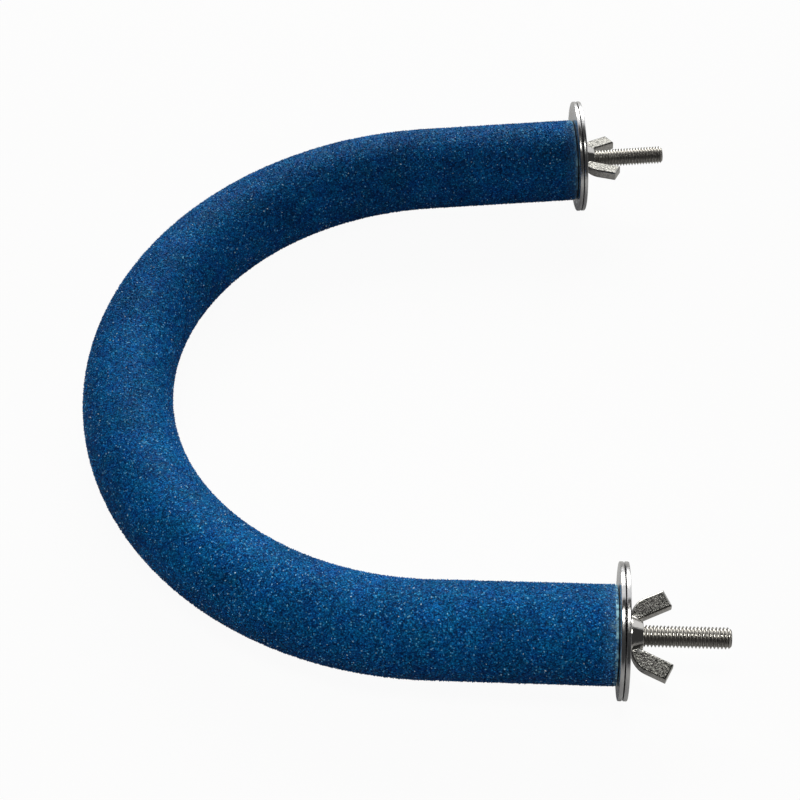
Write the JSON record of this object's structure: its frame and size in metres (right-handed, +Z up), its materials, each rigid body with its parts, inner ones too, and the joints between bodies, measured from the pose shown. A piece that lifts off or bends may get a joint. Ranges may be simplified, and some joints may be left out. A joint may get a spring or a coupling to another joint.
{
  "type": "sanding perch",
  "caption": "U-shaped bird perch of sand-coated pipe, with threaded studs, clamp washers and wing nuts on its ends for fixing to a cage wall.",
  "frame": {"origin": "centre of the bounding box, on the flat surface that the perch lies on", "axes": "+Z up; +X towards the open side of the U, where the studs point; +Y towards the left leg. The perch lies on its bend and on its washers' rims, so its plane rises 1.63 degrees towards +X"},
  "size_m": [0.1902, 0.2426, 0.0381],
  "materials": {
    "blue_sand": "coarse blue sand bonded in resin, matt with glinting grains",
    "white_pvc": "extruded white PVC",
    "plug_wood": "turned hardwood dowel",
    "washer_steel": "bright zinc-plated steel",
    "stud_steel": "rolled thread, nickel-plated steel",
    "nut_steel": "forged, nickel-plated steel with rough faces"
  },
  "bodies": {
    "perch": {"pipe_core": "white_pvc", "sand_coating": "blue_sand", "left_end_plug": "plug_wood", "right_end_plug": "plug_wood", "left_stud": "stud_steel", "right_stud": "stud_steel"},
    "left_inner_washer": {"left_inner_washer": "washer_steel"},
    "left_outer_washer": {"left_outer_washer": "washer_steel"},
    "left_wing_nut": {"left_wing_nut": "nut_steel"},
    "right_inner_washer": {"right_inner_washer": "washer_steel"},
    "right_outer_washer": {"right_outer_washer": "washer_steel"},
    "right_wing_nut": {"right_wing_nut": "nut_steel"}
  },
  "joints": [
    {"name": "left_inner_washer_turn", "type": "hinge", "parent": "perch", "child": "left_inner_washer", "pos_m": [0.06424, 0.10223, 0.01899], "axis": [0.998, 0.0558, 0.0285], "continuous": true},
    {"name": "left_nut_travel", "type": "slide", "parent": "perch", "child": "left_outer_washer", "axis": [0.998, 0.0558, 0.0285], "range_m": [0, 0.02]},
    {"name": "left_nut_turn", "type": "hinge", "parent": "left_outer_washer", "child": "left_wing_nut", "pos_m": [0.06721, 0.10154, 0.01823], "axis": [0.998, 0.0558, 0.0285], "range_deg": [0, 7200]},
    {"name": "right_inner_washer_turn", "type": "hinge", "parent": "perch", "child": "right_inner_washer", "pos_m": [0.06433, -0.10223, 0.019], "axis": [0.998, -0.0558, 0.0285], "continuous": true},
    {"name": "right_nut_travel", "type": "slide", "parent": "perch", "child": "right_outer_washer", "axis": [0.998, -0.0558, 0.0285], "range_m": [0, 0.02]},
    {"name": "right_nut_turn", "type": "hinge", "parent": "right_outer_washer", "child": "right_wing_nut", "pos_m": [0.06721, -0.10324, 0.01823], "axis": [0.998, -0.0558, 0.0285], "range_deg": [0, 7200]}
  ],
  "couplings": [
    {"joint": "left_nut_turn", "follows": "left_nut_travel", "rad_per_m": 6283.2},
    {"joint": "right_nut_turn", "follows": "right_nut_travel", "rad_per_m": 6283.2}
  ]
}
